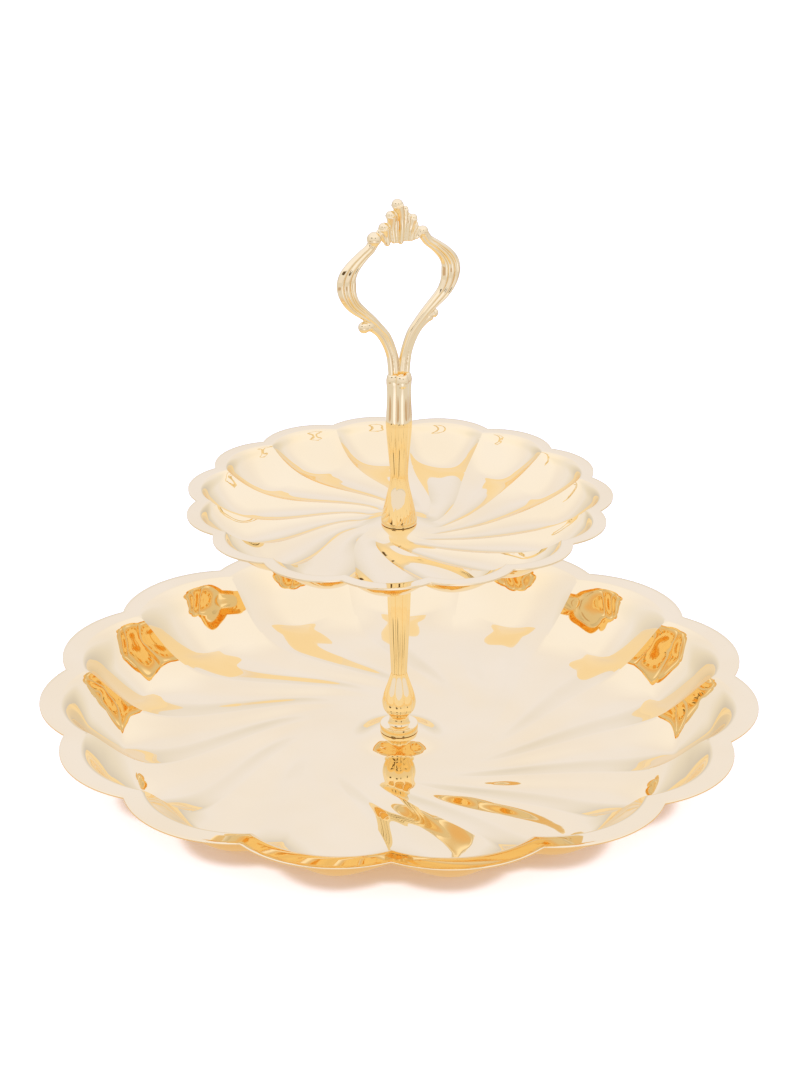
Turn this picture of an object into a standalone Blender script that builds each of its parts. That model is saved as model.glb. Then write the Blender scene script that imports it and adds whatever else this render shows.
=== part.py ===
"""Two-tier cake stand: two scalloped, swirl-fluted plates on a central stem with a loop handle.

The frame is metres with +Z up. The origin is on the stem's axis, on the surface that the stand
rests on. The stem unscrews: a screw from below holds the lower column to the lower plate, and the
upper column's stud passes through the upper plate into the top of the lower column.
"""

import math

import bmesh
import bpy

MM = 0.001

# Clearances
REST_GAP = 0.2 * MM          # between two faces that rest on each other
THREAD_GAP = 0.2 * MM        # around a thread in its hole, on the radius

# Heights of the stack, from the surface up
RIM_HEIGHT = 27.4 * MM       # the lower plate's lip
UPPER_RIM_HEIGHT = 129.5 * MM
GASKET_THICKNESS = 0.5 * MM

# Plates: both have the same number of petals
PETALS = 15
PETAL_STEPS = 6              # columns of faces across one petal
BOWL_STEPS = 9               # rings of faces between the hub's slope and the lip
LOWER_PLATE = {
    "tip_radius": 175.0 * MM,       # outer edge in the middle of a petal
    "notch_radius": 166.2 * MM,     # outer edge where two petals meet
    "lip": 9.7 * MM,                # width of the flat lip
    "first_notch": math.radians(4.8),
    "thickness": 0.9 * MM,
    "rim_height": RIM_HEIGHT,
    "depth": 26.5 * MM,             # from the lip down to the floor
    "wall_radius": 134.7 * MM,      # where a petal starts to rise from the floor
    "wall_power": 1.13,
    "wall_round": 0.69,             # 0 to 1: how much the wall steepens towards the lip
    "shoulder": 12.5 * MM,          # soft turn from the wall into the lip
    "ridge_radius": 83.8 * MM,      # inner end of the tall part of the ridges between petals
    "ridge_power": 6.0,
    "ridge_round": 1.44,            # above 1 the ridge levels out under the lip
    "crease_radius": 45.4 * MM,     # inner end of the low creases that lead up to the ridges
    "crease_height": 0.049,         # as a share of the depth
    "crease_fade": 26.0 * MM,
    "flank_radius": 98.0 * MM,      # limits the width of a ridge's flanks
    "flank_arc": 0.58,              # how close to a round arc the flanks are
    "flank_power": 1.83,
    "lean": -0.60,                  # shifts the petals' slope towards their middle
    "swirl": (-1.3, 27.4, -176.0),  # degrees, for the powers of the way in from the lip
    "hub_rise": 3.7 * MM,
    "hub_radius": 9.8 * MM,
    "hub_slope": 14.0 * MM,
}
UPPER_PLATE = {
    "tip_radius": 102.0 * MM,
    "notch_radius": 96.0 * MM,
    "lip": 6.0 * MM,
    "first_notch": math.radians(14.5),
    "thickness": 0.8 * MM,
    "rim_height": UPPER_RIM_HEIGHT,
    "depth": 15.2 * MM,
    "wall_radius": 72.0 * MM,
    "wall_power": 1.9,
    "wall_round": 0.05,
    "shoulder": 4.0 * MM,
    "ridge_radius": 14.0 * MM,
    "ridge_power": 4.5,
    "ridge_round": 1.0,
    "crease_radius": 14.0 * MM,
    "crease_height": 0.07,
    "crease_fade": 18.0 * MM,
    "flank_radius": 30.0 * MM,
    "flank_arc": 0.05,
    "flank_power": 2.0,
    "lean": 0.0,
    "swirl": (0.0, -10.0, -96.0),
    "hub_rise": 2.0 * MM,
    "hub_radius": 8.8 * MM,
    "hub_slope": 12.0 * MM,
}

# Threads: M6 throughout
THREAD_RADIUS = 3.0 * MM
BORE_RADIUS = THREAD_RADIUS + THREAD_GAP
PLATE_HOLE_RADIUS = 3.3 * MM
STUD_ENGAGEMENT = 13.0 * MM      # of the upper stud in the lower column
STUD_IN_COLUMN = 15.0 * MM       # of the upper stud in the upper column
SCREW_ENGAGEMENT = 11.0 * MM     # of the base screw in the lower column
BORE_RELIEF = 3.0 * MM           # how much deeper a bore is than its thread

# Washers and gaskets
BASE_WASHER_RADIUS = 7.0 * MM
BASE_WASHER_THICKNESS = 0.6 * MM
BASE_HEAD_RADIUS = 6.0 * MM
BASE_HEAD_THICKNESS = 1.2 * MM
RECESS_LENGTH = 6.4 * MM
RECESS_WIDTH = 1.3 * MM
RECESS_DEPTH = 0.8 * MM
FOOT_GASKET_RADIUS = 8.6 * MM
TRAY_GASKET_RADIUS = 5.9 * MM

# Lower column: height above the foot's underside, radius and depth of the grooves there, in mm
LOWER_COLUMN_FLUTES = 8
LOWER_COLUMN_SIDE = [
    (109.1, 6.0, 0.5), (107.0, 6.35, 0.7), (84.0, 6.0, 0.7), (60.0, 5.2, 0.7), (42.0, 4.4, 0.6),
    (31.0, 3.95, 0.5), (29.0, 4.3, 0.5), (25.0, 5.8, 0.6), (19.5, 7.5, 0.7), (15.0, 8.25, 0.7),
    (11.5, 7.6, 0.6), (9.3, 6.1, 0.4), (7.6, 5.0, 0.0), (5.6, 4.8, 0.0), (4.2, 5.2, 0.0),
    (3.3, 6.4, 0.0), (3.3, 9.0, 0.0), (2.7, 9.3, 0.0), (0.5, 9.3, 0.0), (0.0, 9.0, 0.0),
]

# Upper column, in the same way
UPPER_COLUMN_LOBES = 4
UPPER_COLUMN_SIDE = [
    (75.5, 4.7, 0.7), (75.1, 5.6, 1.3), (73.8, 6.3, 1.6), (71.4, 6.4, 1.6), (66.0, 6.05, 1.45),
    (58.0, 6.3, 1.45), (52.2, 6.55, 1.4), (42.0, 5.9, 1.1), (32.0, 4.8, 0.9), (23.5, 4.3, 0.65),
    (16.0, 5.2, 0.5), (10.0, 6.7, 0.3), (4.0, 8.1, 0.1), (1.0, 8.5, 0.0), (0.0, 8.3, 0.0),
]
COLUMN_STEPS = 32

# Handle loop, in its own plane: distance from the axis, height above the column's top, radius
HANDLE_TURN = math.radians(26.0)     # the plane's turn about the stem's axis
HANDLE_THICKNESS = 2.9 * MM          # half the loop's thickness across its plane
STRAND = [
    (1.8, 0.5, 1.7), (2.1, 3.0, 1.7), (2.4, 8.3, 1.7), (3.8, 13.8, 1.8), (6.2, 19.3, 1.9),
    (9.8, 23.8, 2.1), (14.0, 28.4, 2.4), (18.4, 32.4, 2.9), (23.0, 36.8, 3.6), (25.8, 41.8, 4.4),
    (26.7, 46.8, 4.8), (26.0, 51.0, 4.5), (23.2, 55.6, 3.6), (18.8, 59.8, 2.9), (14.5, 63.4, 2.6),
    (12.4, 67.0, 2.8),
]
CURL = [
    (4.2, 0.5, 1.3), (4.7, 7.3, 1.4), (5.9, 12.5, 1.5), (8.0, 17.4, 1.6), (10.6, 21.4, 1.7),
    (13.8, 24.8, 1.6), (16.6, 25.6, 1.5),
]
# Balls that end the curls and stand at the crest's corners: distance (negative to the left)
CURL_BALLS = [(-17.6, 25.4, 2.9), (17.9, 26.2, 2.5)]
CREST_CORNERS = [(-12.6, 67.4, 3.5), (12.1, 67.7, 2.8)]
# Crest flutes: the round top, the waist, then the lower end
CREST = [
    ((-8.4, 71.6, 2.5), (-7.8, 67.8, 2.2), (-6.8, 64.9, 2.0)),
    ((-4.1, 76.0, 2.5), (-5.1, 70.8, 1.8), (-4.9, 66.7, 1.7)),
    ((-0.9, 81.8, 2.8), (0.2, 74.5, 2.2), (-1.0, 66.5, 2.1)),
    ((2.8, 80.2, 1.9), (3.1, 74.0, 1.7), (1.6, 67.2, 1.8)),
    ((7.4, 75.0, 2.1), (6.3, 71.2, 1.8), (4.5, 67.8, 1.8)),
    ((10.0, 71.0, 1.8), (8.9, 69.2, 1.8), (7.2, 67.4, 1.8)),
]
SPIGOT_RADIUS = 2.5 * MM
SPIGOT_LENGTH = 10.0 * MM
CURVE_POINTS = 2                     # points along a strand for each step of its outline

GOLD = (0.95, 0.73, 0.38, 1.0)
STEEL = (0.62, 0.62, 0.62, 1.0)
CLEAR_SOFT = (0.85, 0.84, 0.80, 1.0)

# Heights that follow from the stack
HUB_TOP = RIM_HEIGHT - LOWER_PLATE["depth"] + LOWER_PLATE["hub_rise"]
FOOT_HEIGHT = HUB_TOP + 2 * REST_GAP + GASKET_THICKNESS
WASHER_TOP = HUB_TOP - LOWER_PLATE["thickness"] - REST_GAP
HEAD_TOP = WASHER_TOP - BASE_WASHER_THICKNESS - REST_GAP
COLUMN_TOP = FOOT_HEIGHT + LOWER_COLUMN_SIDE[0][0] * MM
UPPER_HUB_TOP = UPPER_RIM_HEIGHT - UPPER_PLATE["depth"] + UPPER_PLATE["hub_rise"]
UPPER_FOOT_HEIGHT = UPPER_HUB_TOP + 2 * REST_GAP + GASKET_THICKNESS
UPPER_COLUMN_TOP = UPPER_FOOT_HEIGHT + UPPER_COLUMN_SIDE[0][0] * MM


# ---------------------------------------------------------------- helpers

def clear_scene():
    for obj in list(bpy.data.objects):
        bpy.data.objects.remove(obj, do_unlink=True)


def make_collection(name):
    collection = bpy.data.collections.new(name)
    bpy.context.scene.collection.children.link(collection)
    return collection


def make_material(name, colour, metallic, roughness):
    material = bpy.data.materials.new(name)
    material.use_nodes = True
    shader = material.node_tree.nodes["Principled BSDF"]
    shader.inputs["Base Color"].default_value = colour
    shader.inputs["Metallic"].default_value = metallic
    shader.inputs["Roughness"].default_value = roughness
    return material


def polished_gold(name):
    return make_material(name + "_gold", GOLD, 1.0, 0.05)


def plain_steel(name):
    return make_material(name + "_steel", STEEL, 1.0, 0.3)


def soft_plastic(name):
    return make_material(name + "_soft", CLEAR_SOFT, 0.0, 0.45)


def add_object(name, mesh, collection, material=None):
    obj = bpy.data.objects.new(name, mesh)
    collection.objects.link(obj)
    if material:
        mesh.materials.append(material)
    return obj


def evaluated_mesh(obj):
    """The object's mesh with its modifiers or its curve's bevel made real, welded."""
    bpy.context.view_layer.update()
    depsgraph = bpy.context.evaluated_depsgraph_get()
    mesh = bpy.data.meshes.new_from_object(obj.evaluated_get(depsgraph))
    bm = bmesh.new()
    bm.from_mesh(mesh)
    bmesh.ops.remove_doubles(bm, verts=bm.verts, dist=0.002 * MM)
    bm.to_mesh(mesh)
    bm.free()
    return mesh


def smooth_shading(mesh, angle=40.0):
    mesh.shade_smooth()
    mesh.set_sharp_from_angle(angle=math.radians(angle))


def clamp(value):
    return min(1.0, max(0.0, value))


def smooth_step(value):
    value = clamp(value)
    return value * value * (3.0 - 2.0 * value)


def turned(name, profile, steps, collection, material):
    """A solid of revolution about Z from (radius, height) points, outer side top to bottom."""
    closed = profile[0][0] > 0
    mesh = bpy.data.meshes.new(name + "_profile")
    edges = [(i, i + 1) for i in range(len(profile) - 1)]
    if closed:
        edges.append((len(profile) - 1, 0))
    mesh.from_pydata([(radius, 0.0, height) for radius, height in profile], edges, [])
    obj = add_object(name, mesh, collection)
    screw = obj.modifiers.new("turn", "SCREW")
    screw.axis = "Z"
    screw.steps = steps
    screw.render_steps = steps
    screw.use_merge_vertices = True
    screw.merge_threshold = 0.001 * MM
    solid = evaluated_mesh(obj)
    obj.modifiers.clear()
    obj.data = solid
    bpy.data.meshes.remove(mesh)
    solid.name = name
    solid.materials.append(material)
    smooth_shading(solid)
    return obj


def cut(obj, cutter):
    difference = obj.modifiers.new("cut_" + cutter.name, "BOOLEAN")
    difference.operation = "DIFFERENCE"
    difference.object = cutter
    difference.solver = "EXACT"


def join_solids(pieces, parent):
    """Boolean union of closed meshes into the first one; the others are removed."""
    base = pieces[0]
    others = bpy.data.collections.new("joined")
    parent.children.link(others)
    for piece in pieces[1:]:
        others.objects.link(piece)
    union = base.modifiers.new("union", "BOOLEAN")
    union.operation = "UNION"
    union.operand_type = "COLLECTION"
    union.collection = others
    union.solver = "EXACT"
    union.use_self = True
    joined = evaluated_mesh(base)
    base.modifiers.clear()
    base.data = joined
    for piece in pieces[1:]:
        bpy.data.objects.remove(piece, do_unlink=True)
    bpy.data.collections.remove(others)
    return base


# ---------------------------------------------------------------- plates

def scallop_radius(angle, tip_radius, notch_radius):
    """Radius of a petal's round edge, at an angle from the petal's middle."""
    half = math.pi / PETALS
    notch_x = notch_radius * math.cos(half)
    centre = (tip_radius**2 - notch_radius**2) / (2.0 * (tip_radius - notch_x))
    edge_radius = tip_radius - centre
    across = centre * math.sin(angle)
    return centre * math.cos(angle) + math.sqrt(edge_radius**2 - across**2)


def arc_share(share, roundness):
    """Eases 0..1 along a circular arc; roundness 0 is a parabola and 1 ends upright."""
    return (1.0 - math.sqrt(1.0 - roundness**2 * share)) / (1.0 - math.sqrt(1.0 - roundness**2))


def wall_share(plate, radius, lip_radius):
    """Height of a petal's middle, from 0 on the floor to 1 at the lip, with a soft shoulder."""
    start = plate["wall_radius"]
    span = lip_radius - start

    def wall(at):
        return arc_share(clamp((at - start) / span) ** plate["wall_power"], plate["wall_round"])

    turn = lip_radius - plate["shoulder"]
    if radius <= turn:
        return wall(radius)
    t = (radius - turn) / plate["shoulder"]
    slope = (wall(turn) - wall(turn - 0.01 * span)) / 0.01 * plate["shoulder"] / span
    height = (2.0 * t**3 - 3.0 * t**2 + 1.0) * wall(turn)
    return height + (t**3 - 2.0 * t**2 + t) * slope + 3.0 * t**2 - 2.0 * t**3


def bowl_height(plate, radius, lip_radius, turn):
    """Height above the floor. turn runs from 0 to 1 across a petal, from ridge to ridge."""
    wall = wall_share(plate, radius, lip_radius)
    inward = plate["ridge_radius"]
    rise = clamp((radius - inward) / (lip_radius - inward))
    rise = (1.0 - (1.0 - rise) ** plate["ridge_round"]) ** plate["ridge_power"]
    crease = smooth_step((radius - plate["crease_radius"]) / plate["crease_fade"])
    crest = (1.0 - plate["crease_height"]) * rise + plate["crease_height"] * crease
    ridge = max(0.0, crest - wall) * plate["depth"]
    if ridge <= 0.0:
        return wall * plate["depth"]
    half_petal = radius * math.pi / PETALS
    flank = min(half_petal, math.sqrt(2.0 * plate["flank_radius"] * ridge))
    leaned = turn + plate["lean"] * math.sin(2.0 * math.pi * turn) / (2.0 * math.pi)
    away = (1.0 - abs(2.0 * leaned - 1.0)) * half_petal
    near = max(0.0, 1.0 - away / flank) ** plate["flank_power"]
    steepness = ridge / flank
    roundness = plate["flank_arc"] * 2.0 * steepness / (1.0 + steepness**2)
    shape = arc_share(near, min(0.985, max(0.02, roundness)))
    return wall * plate["depth"] + ridge * shape


def swirl_angle(plate, radius):
    """How far the petals have turned at this radius, going in from the lip."""
    inward = (plate["notch_radius"] - plate["lip"] - radius) / plate["notch_radius"]
    inward = max(0.0, inward)
    first, square, cube = plate["swirl"]
    return math.radians(first * inward + square * inward**2 + cube * inward**3)


def ring_radius(plate, ring, lip_radius, edge_radius):
    """Radius of a ring of vertices, from the hole in the hub (0) out to the edge."""
    hub_end = plate["hub_radius"] + plate["hub_slope"]
    hub_rings = [PLATE_HOLE_RADIUS, plate["hub_radius"], hub_end]
    if ring < len(hub_rings):
        return hub_rings[ring]
    step = ring - len(hub_rings) + 1
    if step > BOWL_STEPS:
        return edge_radius
    share = 1.0 - (1.0 - step / BOWL_STEPS) ** 1.7
    return hub_end + (lip_radius - hub_end) * share


def build_plate(name, plate, collection):
    columns = PETALS * PETAL_STEPS
    rings = BOWL_STEPS + 3
    floor = plate["rim_height"] - plate["depth"]
    bm = bmesh.new()
    bmesh.ops.create_grid(bm, x_segments=columns, y_segments=rings, size=1.0)
    for vert in bm.verts:
        column = round((vert.co.x + 1.0) / 2.0 * columns)
        ring = round((vert.co.y + 1.0) / 2.0 * rings)
        turn = column % PETAL_STEPS / PETAL_STEPS
        angle = (turn - 0.5) * 2.0 * math.pi / PETALS
        tip, notch, lip = plate["tip_radius"], plate["notch_radius"], plate["lip"]
        lip_radius = scallop_radius(angle, tip - lip, notch - lip)
        edge_radius = scallop_radius(angle, tip, notch)
        radius = ring_radius(plate, ring, lip_radius, edge_radius)
        height = bowl_height(plate, min(radius, lip_radius), lip_radius, turn)
        hub = 1.0 - smooth_step((radius - plate["hub_radius"]) / plate["hub_slope"])
        azimuth = plate["first_notch"] + 2.0 * math.pi * column / columns
        azimuth += swirl_angle(plate, radius)
        vert.co.x = radius * math.cos(azimuth)
        vert.co.y = radius * math.sin(azimuth)
        vert.co.z = floor + height + hub * plate["hub_rise"]
    bmesh.ops.remove_doubles(bm, verts=bm.verts, dist=0.01 * MM)
    bmesh.ops.recalc_face_normals(bm, faces=bm.faces)
    if sum(face.normal.z for face in bm.faces) < 0.0:
        bmesh.ops.reverse_faces(bm, faces=bm.faces)
    mesh = bpy.data.meshes.new(name)
    bm.to_mesh(mesh)
    bm.free()
    obj = add_object(name, mesh, collection, polished_gold(name))
    sheet = obj.modifiers.new("sheet", "SOLIDIFY")
    sheet.thickness = plate["thickness"]
    sheet.offset = -1.0
    smooth_shading(mesh)
    return obj


# ---------------------------------------------------------------- stem

def groove_depth(side, height):
    """Groove depth at a height in mm, between the outline's points."""
    for upper, lower in zip(side, side[1:]):
        if lower[0] <= height <= upper[0] and upper[0] > lower[0]:
            share = (height - lower[0]) / (upper[0] - lower[0])
            return lower[2] + (upper[2] - lower[2]) * share
    return 0.0


def flute(obj, side, foot_height, count, first_groove):
    """Presses grooves down a turned column: sharp grooves with round lobes between them."""
    for vert in obj.data.vertices:
        radius = math.hypot(vert.co.x, vert.co.y)
        if radius < BORE_RADIUS + 0.1 * MM:
            continue
        angle = math.atan2(vert.co.y, vert.co.x) - first_groove
        depth = groove_depth(side, (vert.co.z - foot_height) / MM) * MM
        shrink = 1.0 - depth * (1.0 - abs(math.sin(count * angle / 2.0))) / radius
        vert.co.x *= shrink
        vert.co.y *= shrink


def outline(side, foot_height):
    return [(radius * MM, foot_height + height * MM) for height, radius, _ in side]


def build_lower_column(collection):
    bottom_bore = FOOT_HEIGHT + SCREW_ENGAGEMENT + BORE_RELIEF
    top_bore = COLUMN_TOP - STUD_ENGAGEMENT - BORE_RELIEF
    profile = [(0.0, top_bore), (BORE_RADIUS, top_bore), (BORE_RADIUS, COLUMN_TOP)]
    profile += outline(LOWER_COLUMN_SIDE, FOOT_HEIGHT)
    profile += [(BORE_RADIUS, FOOT_HEIGHT), (BORE_RADIUS, bottom_bore), (0.0, bottom_bore)]
    material = polished_gold("lower_column")
    obj = turned("lower_column", profile, COLUMN_STEPS, collection, material)
    first_groove = math.radians(-90.0 + 180.0 / LOWER_COLUMN_FLUTES)
    flute(obj, LOWER_COLUMN_SIDE, FOOT_HEIGHT, LOWER_COLUMN_FLUTES, first_groove)
    return obj


def build_upper_column(collection):
    bottom_bore = UPPER_FOOT_HEIGHT + STUD_IN_COLUMN + REST_GAP
    socket_radius = SPIGOT_RADIUS + THREAD_GAP
    socket_floor = UPPER_COLUMN_TOP - SPIGOT_LENGTH - REST_GAP
    profile = [(0.0, socket_floor), (socket_radius, socket_floor)]
    profile += [(socket_radius, UPPER_COLUMN_TOP)]
    profile += outline(UPPER_COLUMN_SIDE, UPPER_FOOT_HEIGHT)
    profile += [(BORE_RADIUS, UPPER_FOOT_HEIGHT), (BORE_RADIUS, bottom_bore), (0.0, bottom_bore)]
    material = polished_gold("upper_column")
    obj = turned("upper_column", profile, COLUMN_STEPS, collection, material)
    first_groove = HANDLE_TURN - math.radians(135.0)
    flute(obj, UPPER_COLUMN_SIDE, UPPER_FOOT_HEIGHT, UPPER_COLUMN_LOBES, first_groove)
    return obj


def build_handle_stud(collection):
    """The threaded rod fixed in the upper column, with a chamfer at its free end."""
    top = UPPER_FOOT_HEIGHT + STUD_IN_COLUMN
    bottom = COLUMN_TOP - STUD_ENGAGEMENT
    chamfer = 0.6 * MM
    profile = [(0.0, top), (THREAD_RADIUS, top), (THREAD_RADIUS, bottom + chamfer)]
    profile += [(THREAD_RADIUS - chamfer, bottom), (0.0, bottom)]
    return turned("handle_stud", profile, 24, collection, plain_steel("handle_stud"))


# ---------------------------------------------------------------- handle loop

def blend_outline(points):
    """Catmull-Rom points through an outline of (x, height, radius), all in mm."""
    ends = [points[0]] + list(points) + [points[-1]]
    result = []
    for i in range(1, len(ends) - 2):
        for step in range(CURVE_POINTS):
            t = step / CURVE_POINTS
            value = []
            for a, b, c, d in zip(ends[i - 1], ends[i], ends[i + 1], ends[i + 2]):
                linear = (c - a) * t
                square = (2.0 * a - 5.0 * b + 4.0 * c - d) * t * t
                cube = (3.0 * b - a - 3.0 * c + d) * t**3
                value.append(0.5 * (2.0 * b + linear + square + cube))
            result.append(value)
    return result + [list(points[-1])]


def tapered_tube(name, points, side, collection):
    """A round tube along the outline, in the XZ plane, on one side of the axis."""
    curve = bpy.data.curves.new(name, "CURVE")
    curve.dimensions = "3D"
    curve.bevel_depth = MM
    curve.bevel_resolution = 2
    curve.use_fill_caps = True
    spline = curve.splines.new("POLY")
    path = blend_outline(points)
    spline.points.add(len(path) - 1)
    for point, (x, height, radius) in zip(spline.points, path):
        point.co = (side * x * MM, 0.0, UPPER_COLUMN_TOP + height * MM, 1.0)
        point.radius = radius
    wire = bpy.data.objects.new(name + "_wire", curve)
    collection.objects.link(wire)
    mesh = evaluated_mesh(wire)
    bpy.data.objects.remove(wire, do_unlink=True)
    bm = bmesh.new()
    bm.from_mesh(mesh)
    bmesh.ops.recalc_face_normals(bm, faces=bm.faces)
    bm.to_mesh(mesh)
    bm.free()
    for vert in mesh.vertices:
        vert.co.y = HANDLE_THICKNESS * math.tanh(vert.co.y / HANDLE_THICKNESS)
    return add_object(name, mesh, collection)


def ball(name, x, height, radius, collection):
    mesh = bpy.data.meshes.new(name)
    bm = bmesh.new()
    bmesh.ops.create_uvsphere(bm, u_segments=10, v_segments=6, radius=radius * MM)
    for vert in bm.verts:
        vert.co.x += x * MM
        vert.co.z += UPPER_COLUMN_TOP + height * MM
    bm.to_mesh(mesh)
    bm.free()
    return add_object(name, mesh, collection)


def crest_flute(flute, collection):
    """A round-ended flute of the crest."""
    pieces = [tapered_tube("flute", flute, 1, collection)]
    for end in (flute[0], flute[-1]):
        pieces.append(ball("flute_end", *end, collection))
    return pieces


def build_handle_loop(collection):
    pieces = []
    for side in (1, -1):
        pieces.append(tapered_tube("strand", STRAND, side, collection))
        pieces.append(tapered_tube("curl", CURL, side, collection))
    for end in CURL_BALLS + CREST_CORNERS:
        pieces.append(ball("end_ball", *end, collection))
    for flute in CREST:
        pieces += crest_flute(flute, collection)
    material = polished_gold("handle_loop")
    bottom = UPPER_COLUMN_TOP - SPIGOT_LENGTH
    collar = UPPER_COLUMN_TOP + REST_GAP
    profile = [(0.0, collar + 2.4 * MM), (2.6 * MM, collar + 2.2 * MM), (3.9 * MM, collar + 1.0 * MM)]
    profile += [(3.9 * MM, collar), (SPIGOT_RADIUS, collar), (SPIGOT_RADIUS, bottom), (0.0, bottom)]
    pieces.append(turned("spigot", profile, 24, collection, material))
    loop = join_solids(pieces[::-1], collection)
    loop.name = "handle_loop"
    loop.data.name = "handle_loop"
    loop.data.materials.clear()
    loop.data.materials.append(material)
    smooth_shading(loop.data, 50.0)
    loop.rotation_euler.z = HANDLE_TURN
    return loop


# ---------------------------------------------------------------- washers and the base screw

def ring(name, top, thickness, outer_radius, inner_radius, collection, material):
    edge = min(0.12 * MM, thickness / 4.0)
    bottom = top - thickness
    profile = [(outer_radius - edge, top), (outer_radius, top - edge), (outer_radius, bottom + edge)]
    profile += [(outer_radius - edge, bottom), (inner_radius, bottom), (inner_radius, top)]
    return turned(name, profile, 24, collection, material)


def build_base_screw(collection, cutters):
    """A flat-headed screw, head down, with a cross recess."""
    bottom = HEAD_TOP - BASE_HEAD_THICKNESS
    tip = FOOT_HEIGHT + SCREW_ENGAGEMENT
    chamfer = 0.6 * MM
    profile = [(0.0, tip), (THREAD_RADIUS - chamfer, tip), (THREAD_RADIUS, tip - chamfer)]
    profile += [(THREAD_RADIUS, HEAD_TOP), (BASE_HEAD_RADIUS, HEAD_TOP)]
    profile += [(BASE_HEAD_RADIUS, HEAD_TOP - 0.5 * MM), (BASE_HEAD_RADIUS - 1.2 * MM, bottom)]
    profile += [(0.0, bottom)]
    screw = turned("base_screw", profile, 24, collection, plain_steel("base_screw"))
    mesh = bpy.data.meshes.new("cross_recess")
    bm = bmesh.new()
    bmesh.ops.create_cube(bm, size=1.0)
    for vert in bm.verts:
        vert.co.x *= RECESS_LENGTH
        vert.co.y *= RECESS_WIDTH
        vert.co.z = bottom + (RECESS_DEPTH if vert.co.z > 0 else -RECESS_DEPTH)
    bm.to_mesh(mesh)
    bm.free()
    for turn in (0.0, math.pi / 2.0):
        cutter = bpy.data.objects.new("cross_recess", mesh)
        cutter.rotation_euler.z = turn
        cutter.hide_render = True
        cutter.display_type = "WIRE"
        cutters.objects.link(cutter)
        cut(screw, cutter)
    return screw


def build():
    clear_scene()
    stand = make_collection("cake_stand")
    cutters = make_collection("cutters")
    build_plate("lower_plate", LOWER_PLATE, stand)
    build_plate("upper_plate", UPPER_PLATE, stand)
    build_lower_column(stand)
    build_upper_column(stand)
    build_handle_stud(stand)
    build_handle_loop(stand)
    ring("foot_gasket", HUB_TOP + REST_GAP + GASKET_THICKNESS, GASKET_THICKNESS,
         FOOT_GASKET_RADIUS, PLATE_HOLE_RADIUS, stand, soft_plastic("foot_gasket"))
    ring("tray_gasket_lower", COLUMN_TOP + REST_GAP + GASKET_THICKNESS, GASKET_THICKNESS,
         TRAY_GASKET_RADIUS, PLATE_HOLE_RADIUS, stand, soft_plastic("tray_gasket_lower"))
    ring("tray_gasket_upper", UPPER_HUB_TOP + REST_GAP + GASKET_THICKNESS, GASKET_THICKNESS,
         TRAY_GASKET_RADIUS, PLATE_HOLE_RADIUS, stand, soft_plastic("tray_gasket_upper"))
    ring("base_washer", WASHER_TOP, BASE_WASHER_THICKNESS,
         BASE_WASHER_RADIUS, PLATE_HOLE_RADIUS, stand, plain_steel("base_washer"))
    build_base_screw(stand, cutters)


build()
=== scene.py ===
"""Looks of the two-tier cake stand: fine surfaces, polished gold, a white studio and a camera."""

import math

import bmesh
import bpy
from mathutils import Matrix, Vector


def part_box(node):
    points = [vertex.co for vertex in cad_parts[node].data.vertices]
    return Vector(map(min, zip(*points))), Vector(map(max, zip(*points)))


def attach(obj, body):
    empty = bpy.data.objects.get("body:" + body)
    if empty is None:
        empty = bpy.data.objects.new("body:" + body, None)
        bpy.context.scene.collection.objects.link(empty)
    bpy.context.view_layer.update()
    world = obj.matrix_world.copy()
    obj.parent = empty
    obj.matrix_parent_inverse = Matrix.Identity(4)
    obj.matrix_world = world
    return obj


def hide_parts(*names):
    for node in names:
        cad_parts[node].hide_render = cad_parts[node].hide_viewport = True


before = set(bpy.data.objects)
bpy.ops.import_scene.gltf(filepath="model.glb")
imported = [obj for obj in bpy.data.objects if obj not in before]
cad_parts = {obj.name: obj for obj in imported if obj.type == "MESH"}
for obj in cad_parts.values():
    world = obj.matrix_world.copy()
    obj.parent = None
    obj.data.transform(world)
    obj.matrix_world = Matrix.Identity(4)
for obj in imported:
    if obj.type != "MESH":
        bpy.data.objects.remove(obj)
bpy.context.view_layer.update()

MM = 0.001

# Heights, in metres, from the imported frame
LOWER_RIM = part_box("lower_plate")[1].z
UPPER_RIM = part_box("upper_plate")[1].z
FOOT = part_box("lower_column")[0].z
COLUMN_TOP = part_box("lower_column")[1].z
UPPER_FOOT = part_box("upper_column")[0].z
UPPER_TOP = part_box("upper_column")[1].z

PETALS = 15
PETAL = 2.0 * math.pi / PETALS
PETAL_STEPS = 32
BOWL_RINGS = 84
LIP_RINGS = 4

# All plate lengths are in mm; angles are in degrees
LOWER_PLATE = dict(
    tip=175.0, notch=166.2, lip=9.7, first_notch=4.8, thick=0.9, depth=26.5,
    wall_in=135.0, wall_pow=1.14, wall_round=0.70, shoulder=13.3,
    ridge_in=84.0, ridge_pow=6.0, ridge_round=1.44, crease_in=44.0, crease=0.046, crease_fade=27.0,
    flank=97.5, flank_arc=0.52, flank_pow=1.87, lean=-0.62, swirl=(-0.9, 29.0, -176.0),
    hub_rise=3.7, hub_r=9.8, hub_slope=14.0, hole=3.3)
UPPER_PLATE = dict(
    tip=102.0, notch=96.0, lip=6.0, first_notch=14.46, thick=0.8, depth=15.2,
    wall_in=72.0, wall_pow=1.9, wall_round=0.05, shoulder=4.0,
    ridge_in=14.0, ridge_pow=4.5, ridge_round=1.0, crease_in=14.0, crease=0.07, crease_fade=18.0,
    flank=30.0, flank_arc=0.05, flank_pow=2.0, lean=0.0, swirl=(0.0, -10.0, -96.0),
    hub_rise=2.0, hub_r=8.8, hub_slope=12.0, hole=3.3)

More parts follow.
